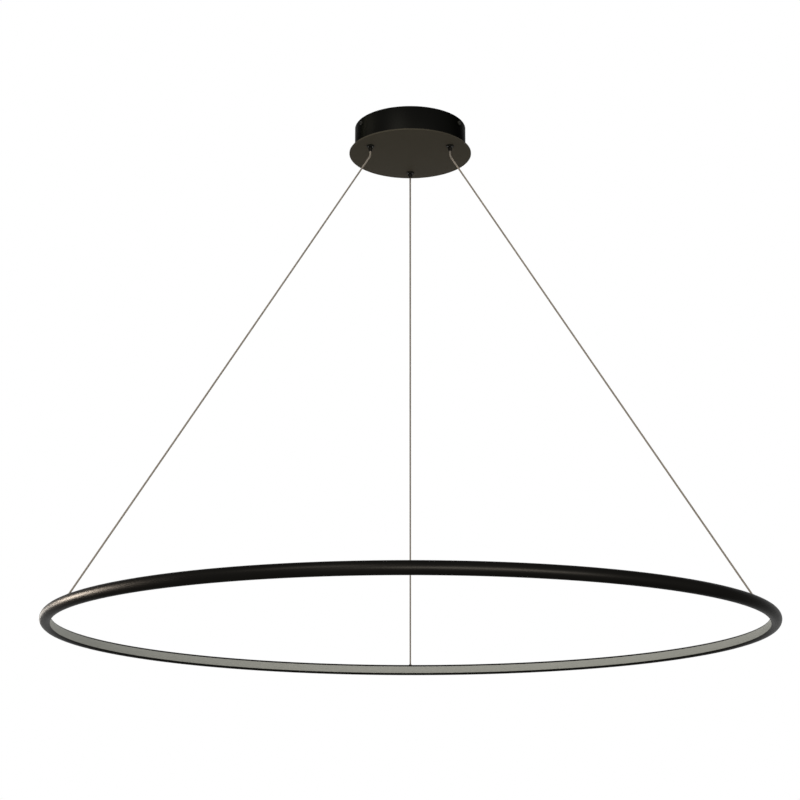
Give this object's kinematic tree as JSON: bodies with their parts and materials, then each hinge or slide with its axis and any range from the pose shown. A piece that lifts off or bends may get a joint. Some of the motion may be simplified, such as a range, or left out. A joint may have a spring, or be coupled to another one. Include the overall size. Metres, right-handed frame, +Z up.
{
  "type": "led pendant light",
  "caption": "Suspended ring light: a thin black tube ring with an inward opal diffuser hangs level on splayed thin cables from a round ceiling canopy with press-to-release cable grippers.",
  "frame": {"origin": "centre of the canopy on the ceiling, midway between the two ceiling screw slots", "axes": "+Z up into the ceiling, +Y towards the rear cable, away from the camera, +X to the right"},
  "size_m": [1.2, 1.2, 0.902],
  "materials": {
    "black_steel": "satin",
    "black_aluminium": "satin",
    "black_brass": "satin",
    "nickel_brass": "satin",
    "zinc_steel": "satin",
    "brass": "satin",
    "rubber": "matte",
    "white_plastic": "matte",
    "board": "satin",
    "board_white": "satin",
    "nylon": "matte",
    "black_nylon": "matte",
    "phosphor": "matte",
    "opal": "satin",
    "clear_sheath": "gloss",
    "cable_steel": "satin",
    "lead_brown": "satin",
    "lead_blue": "satin",
    "lead_green": "satin",
    "lead_red": "satin",
    "lead_black": "satin"
  },
  "bodies": {
    "canopy": {"canopy_cup": "black_steel", "canopy_plate": "black_steel", "plate_nuts": "zinc_steel", "ceiling_bracket": "zinc_steel", "mains_grommet": "rubber", "side_screws": "black_steel", "driver_case": "white_plastic", "driver_lid": "white_plastic", "driver_board": "board", "module_screws": "zinc_steel", "terminal_block": "nylon", "terminal_inserts": "brass", "terminal_screws": "zinc_steel", "earth_screw": "brass", "live_lead": "lead_brown", "neutral_lead": "lead_blue", "earth_lead": "lead_green", "positive_lead": "lead_red", "negative_lead": "lead_black", "gripper_caps": "nickel_brass", "gripper_bushes": "black_nylon", "gripper_collars": "black_nylon", "cable_terminals": "brass", "gripper_body_rear": "nickel_brass", "gripper_spring_rear": "zinc_steel", "cable_tail_rear": "clear_sheath", "gripper_body_left": "nickel_brass", "gripper_spring_left": "zinc_steel", "cable_tail_left": "clear_sheath", "gripper_body_right": "nickel_brass", "gripper_spring_right": "zinc_steel", "cable_tail_right": "clear_sheath"},
    "cables": {"cable_sheath_rear": "clear_sheath", "cable_core_rear": "cable_steel", "cable_sheath_left": "clear_sheath", "cable_core_left": "cable_steel", "cable_sheath_right": "clear_sheath", "cable_core_right": "cable_steel"},
    "ring": {"ring_profile": "black_aluminium", "diffuser": "opal", "light_strip": "board_white", "light_bead": "phosphor", "anchor_plugs": "black_nylon", "anchor_balls": "zinc_steel", "strip_lead_positive": "lead_red", "strip_lead_negative": "lead_black"},
    "release_rear": {"gripper_plunger_rear": "black_brass", "grip_balls_rear": "zinc_steel"},
    "release_left": {"gripper_plunger_left": "black_brass", "grip_balls_left": "zinc_steel"},
    "release_right": {"gripper_plunger_right": "black_brass", "grip_balls_right": "zinc_steel"}
  },
  "joints": [
    {"name": "ring_sway", "type": "hinge", "parent": "canopy", "child": "cables", "pos_m": [0, 0, -0.0595], "axis": [0, 1, 0], "range_deg": [-5, 5], "deforming": ["cable_sheath_rear", "cable_core_rear", "cable_sheath_left", "cable_core_left", "cable_sheath_right", "cable_core_right"]},
    {"name": "ring_height", "type": "slide", "parent": "cables", "child": "ring", "axis": [0, 0, 1], "range_m": [0, 0.45], "deforming": ["cable_sheath_rear", "cable_core_rear", "cable_sheath_left", "cable_core_left", "cable_sheath_right", "cable_core_right"]},
    {"name": "release_rear_press", "type": "slide", "parent": "canopy", "child": "release_rear", "axis": [0, 0, 1], "range_m": [0, 0.002], "stiffness_N_per_m": 600, "springref_m": -0.002, "deforming": ["gripper_spring_rear"]},
    {"name": "release_left_press", "type": "slide", "parent": "canopy", "child": "release_left", "axis": [0, 0, 1], "range_m": [0, 0.002], "stiffness_N_per_m": 600, "springref_m": -0.002, "deforming": ["gripper_spring_left"]},
    {"name": "release_right_press", "type": "slide", "parent": "canopy", "child": "release_right", "axis": [0, 0, 1], "range_m": [0, 0.002], "stiffness_N_per_m": 600, "springref_m": -0.002, "deforming": ["gripper_spring_right"]}
  ]
}
